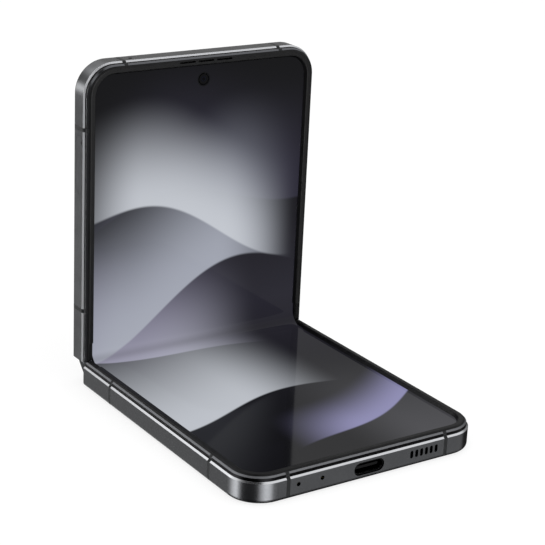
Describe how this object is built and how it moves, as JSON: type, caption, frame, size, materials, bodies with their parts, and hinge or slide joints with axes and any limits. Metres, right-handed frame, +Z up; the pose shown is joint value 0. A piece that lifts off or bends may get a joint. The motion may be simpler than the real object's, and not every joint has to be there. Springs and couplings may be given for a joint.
{
  "type": "foldable smartphone",
  "caption": "Clamshell foldable smartphone opened to a right angle, with a flexible inner display, a geared twin-axis hinge, side keys and a SIM tray.",
  "frame": {"origin": "centre of the footprint, on the table under the lower half's back glass", "axes": "+X along the fold towards the side with the keys, +Y from the lower half's free end towards the standing upper half, +Z up"},
  "size_m": [0.0722, 0.0904, 0.0895],
  "materials": {
    "frame": "anodised, fine satin, polished chamfer",
    "antenna_band": "satin moulded",
    "bezel": "satin black",
    "soft_cap": "matt",
    "back_panel": "matt etched",
    "cover_panel": "gloss",
    "display": "gloss, lit picture",
    "steel": "stamped and machined steel",
    "screw": "machined screw",
    "gear": "sintered gear steel",
    "spine": "anodised",
    "battery": "foil pouch",
    "board": "solder mask",
    "black_part": "moulded",
    "microphone": "gold plated",
    "coil": "copper winding",
    "camera_ring": "anodised",
    "flash": "diffuser",
    "side_key": "anodised satin"
  },
  "bodies": {
    "lower_half": {"lower_frame": "frame", "lower_antenna_bands": "antenna_band", "lower_bezel": "bezel", "lower_hinge_caps": "soft_cap", "lower_back_glass": "back_panel", "lower_arms": "steel", "lower_arm_screws": "screw", "lower_wing_plate": "steel", "display_lower": "display", "lower_battery": "battery", "lower_board": "board", "usb_receptacle": "steel", "usb_tongue": "black_part", "loudspeaker": "black_part", "speaker_mesh": "black_part", "bottom_microphones": "microphone", "charging_coil": "coil", "ferrite_sheet": "black_part", "vibration_motor": "steel"},
    "hinge_spine": {"spine_cover": "spine", "spine_end_caps": "steel", "hinge_blocks": "steel", "hinge_pins": "screw", "gear_plates": "steel", "friction_washers": "screw", "block_screws": "screw", "display_fold": "display"},
    "upper_half": {"upper_frame": "frame", "upper_antenna_bands": "antenna_band", "upper_bezel": "bezel", "upper_hinge_caps": "soft_cap", "cover_glass": "cover_panel", "upper_arms": "steel", "upper_arm_screws": "screw", "upper_wing_plate": "steel", "display_upper": "display", "upper_battery": "battery", "main_board": "board", "processor": "black_part", "shield_cans": "steel", "cover_display": "black_part", "rear_cameras": "black_part", "camera_rings": "camera_ring", "camera_lenses": "cover_panel", "flash_lens": "flash", "front_camera": "black_part", "earpiece": "black_part", "sim_reader": "steel", "key_switches": "steel"},
    "left_lower_gear": {"lower_pinion_left": "gear"},
    "right_lower_gear": {"lower_pinion_right": "gear"},
    "left_upper_gear": {"upper_pinion_left": "gear"},
    "right_upper_gear": {"upper_pinion_right": "gear"},
    "tray": {"sim_tray": "side_key"},
    "power_button": {"power_key": "side_key"},
    "volume_rocker": {"volume_key": "side_key"}
  },
  "joints": [
    {"name": "lower_fold", "type": "hinge", "parent": "lower_half", "child": "hinge_spine", "pos_m": [0, 0.03591, 0.00565], "axis": [1, 0, 0], "range_deg": [-45, 45], "deforming": ["display_fold"]},
    {"name": "upper_fold", "type": "hinge", "parent": "hinge_spine", "child": "upper_half", "pos_m": [0, 0.03859, 0.00834], "axis": [1, 0, 0], "range_deg": [-45, 45], "deforming": ["display_fold"]},
    {"name": "left_lower_gear_spin", "type": "hinge", "parent": "hinge_spine", "child": "left_lower_gear", "pos_m": [0, 0.03827, 0.00456], "axis": [1, 0, 0], "range_deg": [-72.5, 72.5]},
    {"name": "right_lower_gear_spin", "type": "hinge", "parent": "hinge_spine", "child": "right_lower_gear", "pos_m": [0, 0.03827, 0.00456], "axis": [1, 0, 0], "range_deg": [-72.5, 72.5]},
    {"name": "left_upper_gear_spin", "type": "hinge", "parent": "hinge_spine", "child": "left_upper_gear", "pos_m": [0, 0.03968, 0.00598], "axis": [1, 0, 0], "range_deg": [-72.5, 72.5]},
    {"name": "right_upper_gear_spin", "type": "hinge", "parent": "hinge_spine", "child": "right_upper_gear", "pos_m": [0, 0.03968, 0.00598], "axis": [1, 0, 0], "range_deg": [-72.5, 72.5]},
    {"name": "tray_slide", "type": "slide", "parent": "upper_half", "child": "tray", "axis": [-1, 0, 0], "range_m": [0, 0.016]},
    {"name": "power_press", "type": "slide", "parent": "upper_half", "child": "power_button", "axis": [-1, 0, 0], "range_m": [0, 0.00025], "stiffness_N_per_m": 2000},
    {"name": "volume_tilt", "type": "hinge", "parent": "upper_half", "child": "volume_rocker", "pos_m": [0.03375, 0.04124, 0.06044], "axis": [0, 1, 0], "range_deg": [-1.2, 1.2], "stiffness_Nm_per_rad": 1}
  ],
  "couplings": [
    {"joint": "upper_fold", "follows": "lower_fold", "ratio": 1},
    {"joint": "left_lower_gear_spin", "follows": "lower_fold", "ratio": 1.6},
    {"joint": "right_lower_gear_spin", "follows": "lower_fold", "ratio": 1.6},
    {"joint": "left_upper_gear_spin", "follows": "lower_fold", "ratio": -1.6},
    {"joint": "right_upper_gear_spin", "follows": "lower_fold", "ratio": -1.6}
  ]
}
